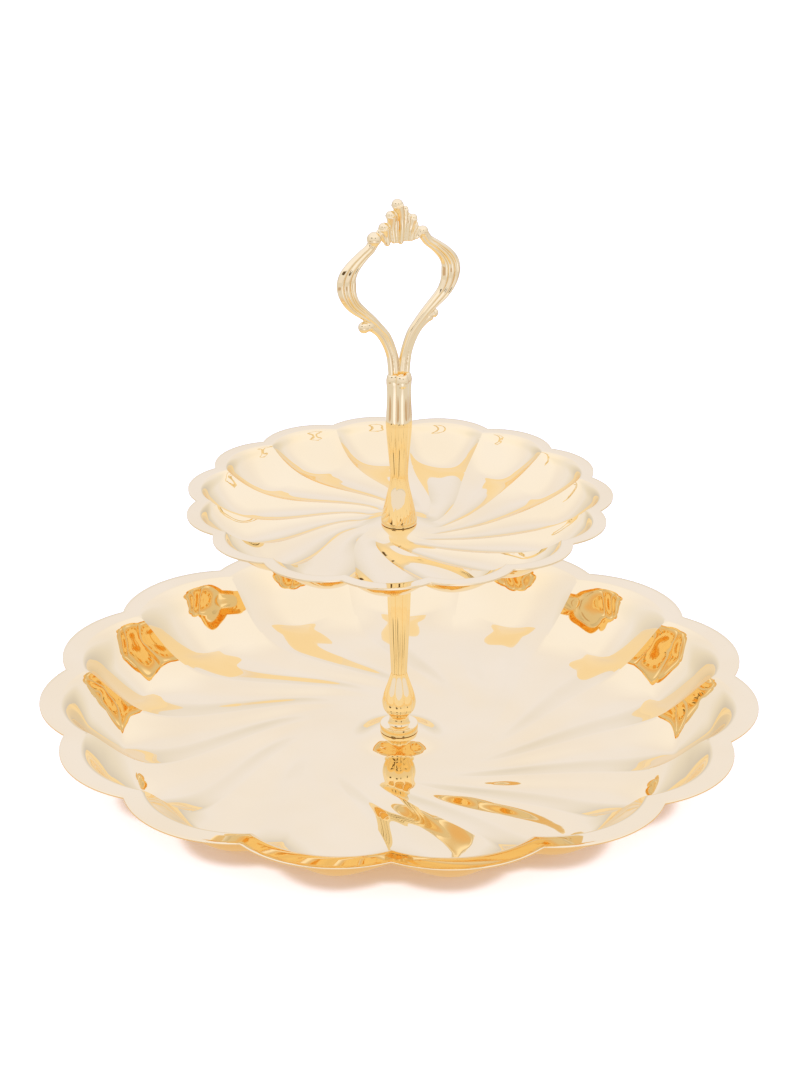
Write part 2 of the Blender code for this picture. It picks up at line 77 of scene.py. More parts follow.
# Lower column, in mm: radius, height above the foot's underside, groove depth
LOWER_SIDE = [
    (5.9, 109.1, 0.5), (6.35, 107.6, 0.7), (6.3, 104.0, 0.75), (6.0, 84.0, 0.75),
    (5.3, 62.0, 0.7), (4.5, 44.0, 0.6), (4.0, 33.0, 0.5), (4.1, 30.0, 0.5), (5.3, 26.0, 0.6),
    (7.0, 21.0, 0.75), (8.1, 16.5, 0.8), (8.2, 14.0, 0.75), (7.5, 11.0, 0.6), (6.1, 8.9, 0.35),
    (5.0, 7.4, 0.1), (4.75, 6.0, 0.0), (5.0, 4.4, 0.0), (5.3, 3.6, 0.0)]
LOWER_FLUTES = 8
LOWER_GROOVE = math.radians(-90.0 + 22.5)
# Upper column, likewise
UPPER_SIDE = [
    (3.1, 73.4, 0.2), (3.8, 75.0, 0.7), (4.6, 75.6, 1.2), (5.4, 75.3, 1.5), (6.0, 74.3, 1.6),
    (6.35, 72.8, 1.65), (6.4, 71.4, 1.6), (6.2, 69.2, 1.5), (6.05, 66.0, 1.45), (6.1, 62.0, 1.45),
    (6.35, 57.0, 1.45), (6.55, 52.2, 1.4), (6.3, 46.5, 1.3), (5.75, 40.2, 1.15), (5.1, 33.5, 0.95),
    (4.6, 28.0, 0.8), (4.45, 23.2, 0.7), (4.9, 18.8, 0.65), (5.9, 14.2, 0.55), (6.95, 9.6, 0.4),
    (7.8, 5.6, 0.25), (8.3, 2.6, 0.1), (8.5, 1.2, 0.0)]
UPPER_LOBES = 4
STEM_STEPS = 192
UPPER_GROOVE = math.radians(26.0 - 135.0)

# A thin wall round each column's foot, over the gasket
SKIRT = 0.7 * MM

# M6 thread, and the radii in mm of the bores round it and of their chamfered mouths
THREAD_PITCH = 1.0 * MM
THREAD_RADIUS = 3.0 * MM
THREAD_DEPTH = 0.55 * MM
BORE, BORE_MOUTH = 3.2, 3.5
# Hole of the washer and the gaskets, and how far their edges are rounded
WASHER_HOLE, WASHER_EDGE, GASKET_EDGE = 3.3 * MM, 0.15 * MM, 0.12 * MM

HANDLE_TURN = math.radians(26.0)
# Loop, in its own plane and mm: distance from the axis, height above the column's top,
# half width in the plane, half thickness across it
STRAND = [
    (1.5, -1.6, 1.9, 1.9), (1.7, 1.7, 2.0, 2.0), (2.0, 5.2, 2.0, 2.0), (2.5, 8.8, 1.9, 2.0),
    (3.9, 13.8, 1.8, 2.0), (6.2, 19.3, 1.8, 2.1), (9.8, 23.8, 2.0, 2.2), (14.0, 28.4, 2.3, 2.4),
    (18.4, 32.4, 2.8, 2.6), (23.0, 36.8, 3.5, 2.8), (25.8, 41.8, 4.3, 2.9), (26.7, 46.8, 4.8, 2.9),
    (26.0, 51.2, 4.4, 2.8), (23.2, 55.6, 3.6, 2.6), (18.8, 59.8, 2.9, 2.4), (14.8, 63.0, 2.6, 2.3),
    (12.6, 66.2, 2.6, 2.3)]
CURL = [
    (3.9, -1.4, 1.4, 1.6), (4.6, 7.3, 1.5, 1.7), (5.9, 12.5, 1.5, 1.7), (8.0, 17.4, 1.6, 1.7),
    (10.6, 21.4, 1.7, 1.8), (13.8, 24.3, 1.8, 1.9), (16.6, 25.6, 1.9, 2.0)]
# Curl ends, two balls on each side: distance, height, radius
CURL_BALLS = ((-17.9, 25.5, 2.9), (-15.4, 25.8, 2.7), (18.0, 26.9, 2.3), (15.6, 26.2, 2.3))
# Crest flutes from their round tops to their feet: distance (right positive), height, radius
CREST = [
    ((-9.6, 70.2, 1.8), (-8.4, 68.2, 1.5), (-7.6, 65.9, 1.1)),
    ((-7.7, 72.1, 2.6), (-6.6, 68.4, 1.5), (-6.2, 64.5, 1.4)),
    ((-5.5, 73.4, 1.1), (-5.0, 69.3, 0.9), (-4.4, 65.5, 0.9)),
    ((-4.2, 77.4, 2.4), (-3.7, 71.8, 1.2), (-2.9, 65.0, 1.1)),
    ((-1.9, 78.8, 1.1), (-1.7, 72.4, 0.8), (-1.3, 64.6, 0.9)),
    ((-0.8, 82.2, 2.8), (1.0, 74.2, 1.4), (0.6, 64.3, 1.2)),
    ((3.1, 79.6, 1.6), (3.2, 73.6, 0.9), (2.3, 65.0, 0.9)),
    ((4.9, 76.6, 1.1), (4.4, 71.3, 0.8), (3.6, 65.0, 0.9)),
    ((7.1, 74.6, 2.2), (5.7, 70.0, 0.9), (4.9, 64.7, 0.9)),
    ((8.6, 71.6, 1.3), (7.1, 68.2, 0.8), (6.1, 64.7, 0.9)),
    ((9.9, 69.4, 1.2), (8.4, 66.9, 0.8), (7.3, 64.9, 0.9)),
    ((10.8, 67.6, 1.3), (9.6, 66.1, 0.9), (8.5, 65.1, 0.9))]
# Balls at the crest's two corners: distance, height, radius
CREST_CORNERS = ((-12.6, 67.4, 3.5), (12.1, 67.7, 2.7))
# The root that fills the column's socket: radius and height
ROOT = [(0.0, -0.5), (2.0, -0.6), (2.6, -1.1), (2.6, -2.0), (2.5, -10.0), (0.0, -10.0)]
# Edge of the cells that join the loop's parts into one casting
CAST_GRAIN = 0.21 * MM

GOLD = (0.98, 0.80, 0.47)
GOLD_DRIFT = (0.985, 0.965, 0.92)    # how far the gold's tint wanders, as factors
ZINC, DULL_ZINC = (0.62, 0.62, 0.60), (0.48, 0.48, 0.49)
SILICONE, DULL_SILICONE = (0.86, 0.85, 0.80), (0.76, 0.75, 0.70)


# ------------------------------------------------------------------ helpers

def clamp(value):
    return min(1.0, max(0.0, value))


def smooth_step(value):
    value = clamp(value)
    return value * value * (3.0 - 2.0 * value)


def link(name, mesh, material=None, sharp=40.0):
    obj = bpy.data.objects.new(name, mesh)
    bpy.context.scene.collection.objects.link(obj)
    if material:
        mesh.materials.clear()
        mesh.materials.append(material)
    if sharp:
        mesh.shade_smooth()
        mesh.set_sharp_from_angle(angle=math.radians(sharp))
    return obj


def lobe_radius(angle, count, tip, notch):
    """Outline made of count round lobes: its radius at an angle from a lobe's middle."""
    centre = (tip**2 - notch**2) / (2.0 * (tip - notch * math.cos(math.pi / count)))
    across = centre * math.sin(angle)
    return centre * math.cos(angle) + math.sqrt(max(0.0, (tip - centre)**2 - across**2))


def mesh_from(name, verts, faces):
    mesh = bpy.data.meshes.new(name)
    mesh.from_pydata(verts, [], faces)
    mesh.update()
    return mesh


def curve_through(points, per_span):
    """Catmull-Rom points through the given ones."""
    ends = [points[0]] + list(points) + [points[-1]]
    result = []
    for a, b, c, d in zip(ends, ends[1:], ends[2:], ends[3:]):
        for step in range(per_span):
            t = step / per_span
            result.append([
                0.5 * (2.0 * q + (r - p) * t + (2.0 * p - 5.0 * q + 4.0 * r - s) * t * t
                       + (3.0 * q - p - 3.0 * r + s) * t**3)
                for p, q, r, s in zip(a, b, c, d)])
    return result + [list(points[-1])]


def ring_faces(rings, steps):
    """Faces between rings of vertex numbers, one under another; a ring of one is a pole."""
    faces = []
    for upper, lower in zip(rings, rings[1:]):
        for i in range(steps):
            j = (i + 1) % steps
            if len(upper) == 1:
                faces.append((upper[0], lower[i], lower[j]))
            elif len(lower) == 1:
                faces.append((upper[i], lower[0], upper[j]))
            else:
                faces.append((upper[i], lower[i], lower[j], upper[j]))
    return faces


def lathe(name, profile, steps, material, flutes=0, first_groove=0.0, sharp=40.0):
    """Turns (radius, height, groove) points, in metres, round Z. A radius of 0 closes an end."""
    verts = []
    rings = []
    for radius, height, groove in profile:
        if radius <= 0.0:
            rings.append([len(verts)])
            verts.append((0.0, 0.0, height))
            continue
        ring = []
        for i in range(steps):
            angle = 2.0 * math.pi * i / steps
            r = radius
            if groove > 1e-6:
                lobe = 2.0 * math.pi / flutes
                r = lobe_radius((angle - first_groove) % lobe - lobe / 2.0, flutes, r, r - groove)
            ring.append(len(verts))
            verts.append((r * math.cos(angle), r * math.sin(angle), height))
        rings.append(ring)
    if profile[0][0] > 0.0:
        rings.append(rings[0])
    return link(name, mesh_from(name, verts, ring_faces(rings, steps)), material, sharp)


def fillet(corner, before, after, radius, count=4):
    """Points of a rounded corner between two straight runs, in (radius, height)."""
    corner, before, after = Vector(corner), Vector(before), Vector(after)
    to_before = (before - corner).normalized()
    to_after = (after - corner).normalized()
    start, end = corner + to_before * radius, corner + to_after * radius
    points = []
    for i in range(count + 1):
        t = i / count
        points.append((1 - t)**2 * start + 2 * t * (1 - t) * corner + t * t * end)
    return [(p.x, p.y, 0.0) for p in points]


# ------------------------------------------------------------------ materials

def new_material(name):
    """A material with nodes: its tree and its Principled shader."""
    material = bpy.data.materials.new(name)
    material.use_nodes = True
    return material, material.node_tree, material.node_tree.nodes["Principled BSDF"]


def set_inputs(node, **values):
    """Sets inputs by name, with underscores for spaces."""
    for key, value in values.items():
        node.inputs[key.replace("_", " ")].default_value = value
    return node


def map_range(tree, value, smooth=False, **limits):
    made = set_inputs(tree.nodes.new("ShaderNodeMapRange"), **limits)
    if smooth:
        made.interpolation_type = "SMOOTHSTEP"
    tree.links.new(value, made.inputs["Value"])
    return made.outputs["Result"]


def blend(tree, share, low, high):
    """Mix of two colours; each one is a colour or an output."""
    mix = tree.nodes.new("ShaderNodeMix")
    mix.data_type = "RGBA"
    tree.links.new(share, mix.inputs[0])
    for socket, colour in ((mix.inputs[6], low), (mix.inputs[7], high)):
        if isinstance(colour, tuple):
            socket.default_value = (*colour, 1.0)
        else:
            tree.links.new(colour, socket)
    return mix.outputs[2]


def mapped_noise(tree, scale, detail, low, high, stretch=(1.0, 1.0, 1.0)):
    """Noise in object space, mapped to low..high."""
    place = tree.nodes.new("ShaderNodeTexCoord")
    mapping = set_inputs(tree.nodes.new("ShaderNodeMapping"), Scale=stretch)
    noise = set_inputs(tree.nodes.new("ShaderNodeTexNoise"), Scale=scale, Detail=detail)
    tree.links.new(place.outputs["Object"], mapping.inputs["Vector"])
    tree.links.new(mapping.outputs["Vector"], noise.inputs["Vector"])
    limits = dict(From_Min=0.3, From_Max=0.7, To_Min=low, To_Max=high)
    return map_range(tree, noise.outputs["Fac"], **limits)


def add_bump(tree, shader, height, strength, distance):
    bump = set_inputs(tree.nodes.new("ShaderNodeBump"), Strength=strength, Distance=distance)
    tree.links.new(height, bump.inputs["Height"])
    tree.links.new(bump.outputs["Normal"], shader.inputs["Normal"])


def gold_material(name, ripple, ripple_scale, roughness):
    """Mirror-polished plating: faint tint drift, wipe haze in the gloss and a slow ripple."""
    material, tree, shader = new_material(name)
    set_inputs(shader, Metallic=1.0)
    other = tuple(a * b for a, b in zip(GOLD, GOLD_DRIFT))
    tint = blend(tree, mapped_noise(tree, 22.0, 2.0, 0.0, 1.0), GOLD, other)
    tree.links.new(tint, shader.inputs["Base Color"])
    haze = mapped_noise(tree, 180.0, 5.0, roughness * 0.5, roughness * 1.6, (1.0, 1.0, 0.25))
    tree.links.new(haze, shader.inputs["Roughness"])
    add_bump(tree, shader, mapped_noise(tree, ripple_scale, 1.5, 0.0, 1.0), 1.0, ripple)
    return material


def steel_material():
    """Zinc-plated steel: mottled and finely grained."""
    material, tree, shader = new_material("zinc_steel")
    set_inputs(shader, Metallic=1.0)
    tint = blend(tree, mapped_noise(tree, 900.0, 4.0, 0.0, 1.0), ZINC, DULL_ZINC)
    tree.links.new(tint, shader.inputs["Base Color"])
    grain = mapped_noise(tree, 2500.0, 3.0, 0.22, 0.42, (1.0, 1.0, 0.2))
    tree.links.new(grain, shader.inputs["Roughness"])
    add_bump(tree, shader, grain, 0.4, 0.02 * MM)
    return material


def gasket_material():
    """Soft translucent ring."""
    material, tree, shader = new_material("soft_gasket")
    set_inputs(shader, Subsurface_Weight=0.2, Subsurface_Scale=0.5 * MM)
    tint = blend(tree, mapped_noise(tree, 1200.0, 3.0, 0.0, 1.0), SILICONE, DULL_SILICONE)
    tree.links.new(tint, shader.inputs["Base Color"])
    tree.links.new(mapped_noise(tree, 2400.0, 2.0, 0.35, 0.6), shader.inputs["Roughness"])
    return material


PLATE_GOLD = gold_material("plate_gold_polish", 0.012 * MM, 60.0, 0.02)
STEM_GOLD = gold_material("stem_gold_polish", 0.006 * MM, 260.0, 0.03)
STEEL = steel_material()
GASKET = gasket_material()


# ------------------------------------------------------------------ plates

def arc_share(share, roundness):
    """Eases 0..1 along a circular arc; roundness 0 is a parabola and 1 ends upright."""
    return (1.0 - math.sqrt(1.0 - roundness**2 * share)) / (1.0 - math.sqrt(1.0 - roundness**2))


def wall_share(p, r, lip_r):
    """Height of a petal's middle, from 0 on the floor to 1 at the lip, with a soft shoulder."""
    span = lip_r - p["wall_in"]

    def wall(at):
        return arc_share(clamp((at - p["wall_in"]) / span) ** p["wall_pow"], p["wall_round"])

    turn = lip_r - p["shoulder"]
    if r <= turn:
        return wall(r)
    t = (r - turn) / p["shoulder"]
    slope = (wall(turn) - wall(turn - 0.01 * span)) / 0.01 * p["shoulder"] / span
    return ((2 * t**3 - 3 * t * t + 1) * wall(turn) + (t**3 - 2 * t * t + t) * slope
            + (3 * t * t - 2 * t**3))


def plate_point(p, r, lip_r, u, floor):
    """Height in mm at radius r; u runs from 0 to 1 across a petal, from ridge to ridge.

    The petals' middles follow wall_share. The ridges between them stand on round flanks, and fall
    to low creases that fade out near the hub.
    """
    wall = wall_share(p, r, lip_r)
    rise = clamp((r - p["ridge_in"]) / (lip_r - p["ridge_in"]))
    rise = (1.0 - (1.0 - rise) ** p["ridge_round"]) ** p["ridge_pow"]
    crease = smooth_step((r - p["crease_in"]) / p["crease_fade"])
    crest = (1.0 - p["crease"]) * rise + p["crease"] * crease
    ridge = max(0.0, crest - wall) * p["depth"]
    height = wall * p["depth"]
    if ridge > 1e-5:
        half = r * PETAL / 2.0
        flank = min(half, math.sqrt(2.0 * p["flank"] * ridge))
        leaned = u + p["lean"] * math.sin(2.0 * math.pi * u) / (2.0 * math.pi)
        near = max(0.0, 1.0 - (1.0 - abs(2.0 * leaned - 1.0)) * half / flank) ** p["flank_pow"]
        steep = ridge / flank
        arc = min(0.985, max(0.02, p["flank_arc"] * 2.0 * steep / (1.0 + steep**2)))
        height += ridge * arc_share(near, arc)
    hub = p["hub_rise"] * (1.0 - smooth_step((r - p["hub_r"]) / p["hub_slope"]))
    return floor + height + hub


def plate(name, p, rim, material):
    """One pressed sheet: swirled petals inside a flat scalloped lip."""
    columns = PETALS * PETAL_STEPS
    rings = BOWL_RINGS + 1 + LIP_RINGS
    floor = rim / MM - p["depth"]
    verts = []
    for j in range(columns):
        u = j % PETAL_STEPS / PETAL_STEPS
        angle = (u - 0.5) * PETAL
        lip_r = lobe_radius(angle, PETALS, p["tip"] - p["lip"], p["notch"] - p["lip"])
        edge_r = lobe_radius(angle, PETALS, p["tip"], p["notch"])
        for q in range(rings):
            if q <= BOWL_RINGS:
                share = 1.0 - (1.0 - q / BOWL_RINGS) ** 1.5
                r = p["hole"] + (lip_r - p["hole"]) * share
                z = plate_point(p, r, lip_r, u, floor)
            else:
                r = lip_r + (edge_r - lip_r) * (q - BOWL_RINGS) / LIP_RINGS
                z = rim / MM
            t = max(0.0, (p["notch"] - p["lip"] - r) / p["notch"])
            turn = p["first_notch"] + sum(s * t**k for k, s in enumerate(p["swirl"], 1))
            turn = math.radians(turn) + PETAL * j / PETAL_STEPS
            verts.append((r * math.cos(turn) * MM, r * math.sin(turn) * MM, z * MM))
    faces = []
    for j in range(columns):
        a, b = j * rings, (j + 1) % columns * rings
        for q in range(rings - 1):
            faces.append((a + q, a + q + 1, b + q + 1, b + q))
    obj = link(name, mesh_from(name, verts, faces), material, 30.0)
    sheet = obj.modifiers.new("sheet", "SOLIDIFY")
    sheet.thickness = p["thick"] * MM
    sheet.offset = -1.0
    edge = obj.modifiers.new("edge", "BEVEL")
    edge.width = 0.22 * MM
    edge.segments = 2
    edge.limit_method = "ANGLE"
    edge.angle_limit = math.radians(65.0)
    return obj


# ------------------------------------------------------------------ stem

def lower_column():
    """Fluted column on a disc, bored and open at both ends."""
    def at(r, h, groove=0.0):
        return (r * MM, FOOT + h * MM, groove * MM)
    side = [at(r, h, g) for r, h, g in curve_through(LOWER_SIDE, 6)]
    skirt = -SKIRT / MM
    height = (COLUMN_TOP - FOOT) / MM
    bore_top, bore_bottom = height - 16.0, 14.0
    disc = fillet(at(9.3, 3.3)[:2], at(5.4, 3.3)[:2], at(9.3, 0.0)[:2], 0.5 * MM)
    disc += fillet(at(9.3, skirt)[:2], at(9.3, 3.0)[:2], at(8.9, skirt)[:2], 0.2 * MM)
    disc += [at(8.9, skirt), at(8.9, 0.0)]
    profile = [at(0.0, bore_top), at(BORE, bore_top), at(BORE, height - 0.3)]
    profile += [at(BORE_MOUTH, height)] + side + [at(5.5, 3.3)] + disc
    profile += [at(BORE_MOUTH, 0.0), at(BORE, 0.3)]
    profile += [at(BORE, bore_bottom), at(0.0, bore_bottom)]
    return lathe("lower_column_casting", profile, STEM_STEPS, STEM_GOLD, LOWER_FLUTES, LOWER_GROOVE)


def upper_column():
    """Four-lobed column with a flared round foot; its top is hollow for the loop's root."""
    def at(r, h, groove=0.0):
        return (r * MM, UPPER_FOOT + h * MM, groove * MM)
    side = [at(r, h, g) for r, h, g in curve_through(UPPER_SIDE, 6)]
    skirt = -SKIRT / MM
    socket, socket_floor, bore_bottom = 2.7, 65.3, 15.2
    base = fillet(at(8.5, skirt)[:2], at(8.5, 0.0)[:2], at(6.4, skirt)[:2], 0.3 * MM)
    base += [at(6.4, skirt), at(6.4, 0.0)]
    profile = [at(0.0, socket_floor), at(socket, socket_floor), at(socket, 72.6)]
    profile += side + base + [at(BORE_MOUTH, 0.0), at(BORE, 0.3)]
    profile += [at(BORE, bore_bottom), at(0.0, bore_bottom)]
    return lathe("upper_column_casting", profile, STEM_STEPS, STEM_GOLD, UPPER_LOBES, UPPER_GROOVE)


def threaded(name, bottom, top, head_profile=(), material=None):
    """A rod with a right-hand helical thread; head_profile is (radius, height) points under it."""
    steps, per_pitch = 48, 10
    count = round((top - bottom) / THREAD_PITCH * per_pitch)
    verts = [(0.0, 0.0, top)]
    rings = [[0]]
    for k in range(count, -1, -1):
        z = bottom + (top - bottom) * k / count
        ring = []
        for i in range(steps):
            angle = 2.0 * math.pi * i / steps
            phase = (z / THREAD_PITCH - i / steps) % 1.0
            groove = clamp((abs(2.0 * phase - 1.0) - 0.2) / 0.6)
            r = THREAD_RADIUS - THREAD_DEPTH * groove
            r = min(r, THREAD_RADIUS - 0.8 * MM + (top - z))
            if not head_profile:
                r = min(r, THREAD_RADIUS - 0.8 * MM + (z - bottom))
            ring.append(len(verts))
            verts.append((r * math.cos(angle), r * math.sin(angle), z))
        rings.append(ring)
    for radius, z in head_profile:
        ring = []
        for i in range(steps):
            angle = 2.0 * math.pi * i / steps
            ring.append(len(verts))
            verts.append((radius * math.cos(angle), radius * math.sin(angle), z))
        rings.append(ring)
    last = rings[-1]
    verts.append((0.0, 0.0, verts[last[0]][2]))
    rings.append([len(verts) - 1])
    return link(name, mesh_from(name, verts, ring_faces(rings, steps)), material, 35.0)


# ------------------------------------------------------------------ handle loop

def strand(bm, points, side, grooves, depth):
    """A swept bar in the loop's plane with rounded ridges down its two broad faces."""
    path = curve_through(points, 8)
    around = 48
    rings = []
    for k, (x, z, half_width, half_thick) in enumerate(path):
        ahead, behind = path[min(k + 1, len(path) - 1)], path[max(k - 1, 0)]
        along = Vector((ahead[0] - behind[0], ahead[1] - behind[1])).normalized()
        across = Vector((along.y, -along.x))
        fade = 0.35 + 0.65 * smooth_step((half_width - 1.8) / 2.0)    # shallower where it is thin
        ring = []
        for i in range(around):
            angle = 2.0 * math.pi * i / around
            q = math.cos(angle)
            thick = math.copysign(abs(math.sin(angle)) ** 0.8, math.sin(angle))
            wave = math.cos(grooves * math.pi * (q + 1.0) / 2.0 + math.pi / 2.0)
            cut = depth * fade * (1.0 - abs(wave))
            thick *= 1.0 - cut * (1.0 - q**8)
            px = (x + across.x * q * half_width) * side
            pz = z + across.y * q * half_width
            ring.append(bm.verts.new((px * MM, thick * half_thick * MM, UPPER_TOP + pz * MM)))
        rings.append(ring)
    for a, b in zip(rings, rings[1:]):
        for i in range(around):
            j = (i + 1) % around
            bm.faces.new((a[i], a[j], b[j], b[i]))
    bm.faces.new(rings[0])
    bm.faces.new(rings[-1])


def ball(bm, x, z, radius, squash=1.0):
    """A ball in the loop's plane, flatter or thicker across it by squash."""
    made = bmesh.ops.create_uvsphere(bm, u_segments=32, v_segments=20, radius=radius * MM)
    for vert in made["verts"]:
        vert.co.y *= squash
        vert.co.x += x * MM
        vert.co.z += UPPER_TOP + z * MM


def handle_loop():
    """The loop, its curls and its crest, cast in one: joined, remeshed and softened."""
    bm = bmesh.new()
    for side in (1, -1):
        strand(bm, STRAND, side, 3, 0.55)
        strand(bm, CURL, side, 1, 0.0)
    for end in CURL_BALLS + CREST_CORNERS:
        ball(bm, *end, 0.92)
    for k, (top, middle, low) in enumerate(CREST):
        proud = 1.0 if k % 2 else 0.55    # every second flute stands further out
        flute = [(x, z, r, r + proud) for x, z, r in (top, middle, low)]
        strand(bm, flute, 1, 1, 0.0)
        ball(bm, *top, 0.95)
        ball(bm, *low, 1.0 + proud / low[2])
    bmesh.ops.recalc_face_normals(bm, faces=bm.faces)
    mesh = bpy.data.meshes.new("handle_loop_casting")
    bm.to_mesh(mesh)
    bm.free()
    spigot = lathe("spigot", [(r * MM, UPPER_TOP + h * MM, 0.0) for r, h in ROOT], 64, STEM_GOLD)
    obj = link("handle_loop_casting", mesh, STEM_GOLD)
    with bpy.context.temp_override(active_object=obj, selected_editable_objects=[obj, spigot]):
        bpy.ops.object.join()
    remesh = obj.modifiers.new("cast", "REMESH")
    remesh.mode = "VOXEL"
    remesh.voxel_size = CAST_GRAIN
    remesh.use_smooth_shade = True
    soften = obj.modifiers.new("soften", "SMOOTH")
    soften.factor = 0.5
    soften.iterations = 4
    bpy.context.view_layer.update()
    depsgraph = bpy.context.evaluated_depsgraph_get()
    cast = bpy.data.meshes.new_from_object(obj.evaluated_get(depsgraph))
    obj.modifiers.clear()
    obj.data = cast
    cast.materials.clear()
    cast.materials.append(STEM_GOLD)
    cast.shade_smooth()
    obj.rotation_euler.z = HANDLE_TURN
    return obj


# ------------------------------------------------------------------ small hidden pieces

def washer(name, cad, round_edge, material):
    """A flat ring in its CAD node's box, with rounded edges."""
    low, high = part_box(cad)
    hole = WASHER_HOLE
    r, top, bottom = high.x, high.z, low.z
    profile = fillet((r, top), (hole, top), (r, bottom), round_edge)
    profile += fillet((r, bottom), (r, top), (hole, bottom), round_edge)
    profile += fillet((hole, bottom), (r, bottom), (hole, top), round_edge)
    profile += fillet((hole, top), (hole, bottom), (r, top), round_edge)
    return lathe(name, profile, 96, material)


def base_screw():
    """M6 screw with a low rounded head and a cross recess in its underside."""
    low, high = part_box("base_screw")
    head_r = high.x
    under = low.z + 1.2 * MM
    head = [(2.9 * MM, under), (head_r - 0.15 * MM, under), (head_r, under - 0.1 * MM)]
    head += [(head_r, under - 0.5 * MM), (head_r - 0.4 * MM, under - 0.8 * MM)]
    head += [(head_r - 1.4 * MM, low.z + 0.05 * MM), (head_r - 1.9 * MM, low.z)]
    obj = threaded("base_screw_turned", under + 0.1 * MM, high.z, head, STEEL)
    bm = bmesh.new()
    for turn in (0.0, math.pi / 2.0):
        made = bmesh.ops.create_cube(bm, size=1.0)["verts"]
        for vert in made:
            taper = 0.8 if vert.co.z > 0 else 1.0
            x, y = vert.co.x * 6.4 * MM * taper, vert.co.y * 1.3 * MM * taper
            vert.co.z = low.z + (0.85 * MM if vert.co.z > 0 else -1.0 * MM)
            vert.co.x = x * math.cos(turn) - y * math.sin(turn)
            vert.co.y = x * math.sin(turn) + y * math.cos(turn)
    mesh = bpy.data.meshes.new("recess")
    bm.to_mesh(mesh)
    bm.free()
    cutter = link("recess", mesh, None, None)
    recess = obj.modifiers.new("recess", "BOOLEAN")
    recess.operation = "DIFFERENCE"
    recess.object = cutter
    recess.solver = "EXACT"
    recess.use_self = True
    bpy.context.view_layer.update()
    depsgraph = bpy.context.evaluated_depsgraph_get()
    cut = bpy.data.meshes.new_from_object(obj.evaluated_get(depsgraph))
    obj.modifiers.clear()
    obj.data = cut
    bpy.data.objects.remove(cutter, do_unlink=True)
    return obj


def place(obj, body, slot, *nodes):
    """Puts a piece on its body and in place of its CAD nodes; its slot is not used."""
    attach(obj, body)
    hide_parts(*nodes)


place(plate("lower_plate_sheet", LOWER_PLATE, LOWER_RIM, PLATE_GOLD),
      "base", "plate_gold", "lower_plate")
place(plate("upper_plate_sheet", UPPER_PLATE, UPPER_RIM, PLATE_GOLD),
      "top_tray", "plate_gold", "upper_plate")
place(lower_column(), "column", "stem_gold", "lower_column")
place(upper_column(), "handle", "stem_gold", "upper_column")
place(handle_loop(), "handle", "stem_gold", "handle_loop")
STUD_LOW, STUD_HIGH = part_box("handle_stud")
place(threaded("handle_stud_rod", STUD_LOW.z, STUD_HIGH.z, (), STEEL),
      "handle", "steel", "handle_stud")
place(base_screw(), "base_screw", "steel", "base_screw")
place(washer("base_washer_ring", "base_washer", WASHER_EDGE, STEEL),
      "screw_washer", "steel", "base_washer")
place(washer("foot_gasket_ring", "foot_gasket", GASKET_EDGE, GASKET),
      "base", "gasket", "foot_gasket")
place(washer("tray_gasket_lower_ring", "tray_gasket_lower", GASKET_EDGE, GASKET),
      "column", "gasket", "tray_gasket_lower")
place(washer("tray_gasket_upper_ring", "tray_gasket_upper", GASKET_EDGE, GASKET),
      "handle_washer", "gasket", "tray_gasket_upper")


# ------------------------------------------------------------------ studio

FLOOR_HALF = 4.0
# The floor's glow and paint, as the gold reflects them
FLOOR_GLOW, FLOOR_PAINT = (0.66, 0.66, 0.75), (0.14, 0.14, 0.14)
# The same as seen directly, and the glow close to where the stand meets the floor, darkened and
# warmed there as a painted contact shadow
SEEN_WHITE, SEEN_PAINT = (0.64, 0.60, 0.62), (0.80, 0.84, 0.90)
PAINTED_CONTACT_SHADOW, CONTACT_REACH = (0.22, 0.14, 0.10), 0.011
# Soft-edged patches of the floor's glow: middle x and y, half width and depth in metres, brightness
FLOOR_CARDS = [
    (0.10, -0.62, 0.17, 0.30, (1.00, 1.05, 1.44)),
    (-0.50, -0.40, 0.14, 0.26, (0.48, 0.34, 0.24)),
    (0.54, -0.22, 0.09, 0.22, (0.48, 0.34, 0.24)),
    (-0.12, 0.62, 0.17, 0.30, (1.00, 1.05, 1.44)),
    (0.50, 0.42, 0.14, 0.26, (0.48, 0.34, 0.24)),
    # Under the stand: a painted shade with a warm painted bounce from the gold, in the glow the
    # gold reflects
    (0.0, 0.0, 0.25, 0.25, (0.74, 0.50, 0.26))]


def outside(tree, where, middle, scale, inner, outer):
    """0 within inner of a point and 1 beyond outer, after stretching the space by scale."""
    stretch = tree.nodes.new("ShaderNodeVectorMath")
    stretch.operation = "MULTIPLY"
    stretch.inputs[1].default_value = scale
    tree.links.new(where, stretch.inputs[0])
    distance = tree.nodes.new("ShaderNodeVectorMath")
    distance.operation = "DISTANCE"
    distance.inputs[1].default_value = [m * s for m, s in zip(middle, scale)]
    tree.links.new(stretch.outputs["Vector"], distance.inputs[0])
    return map_range(tree, distance.outputs["Value"], True, From_Min=inner, From_Max=outer)


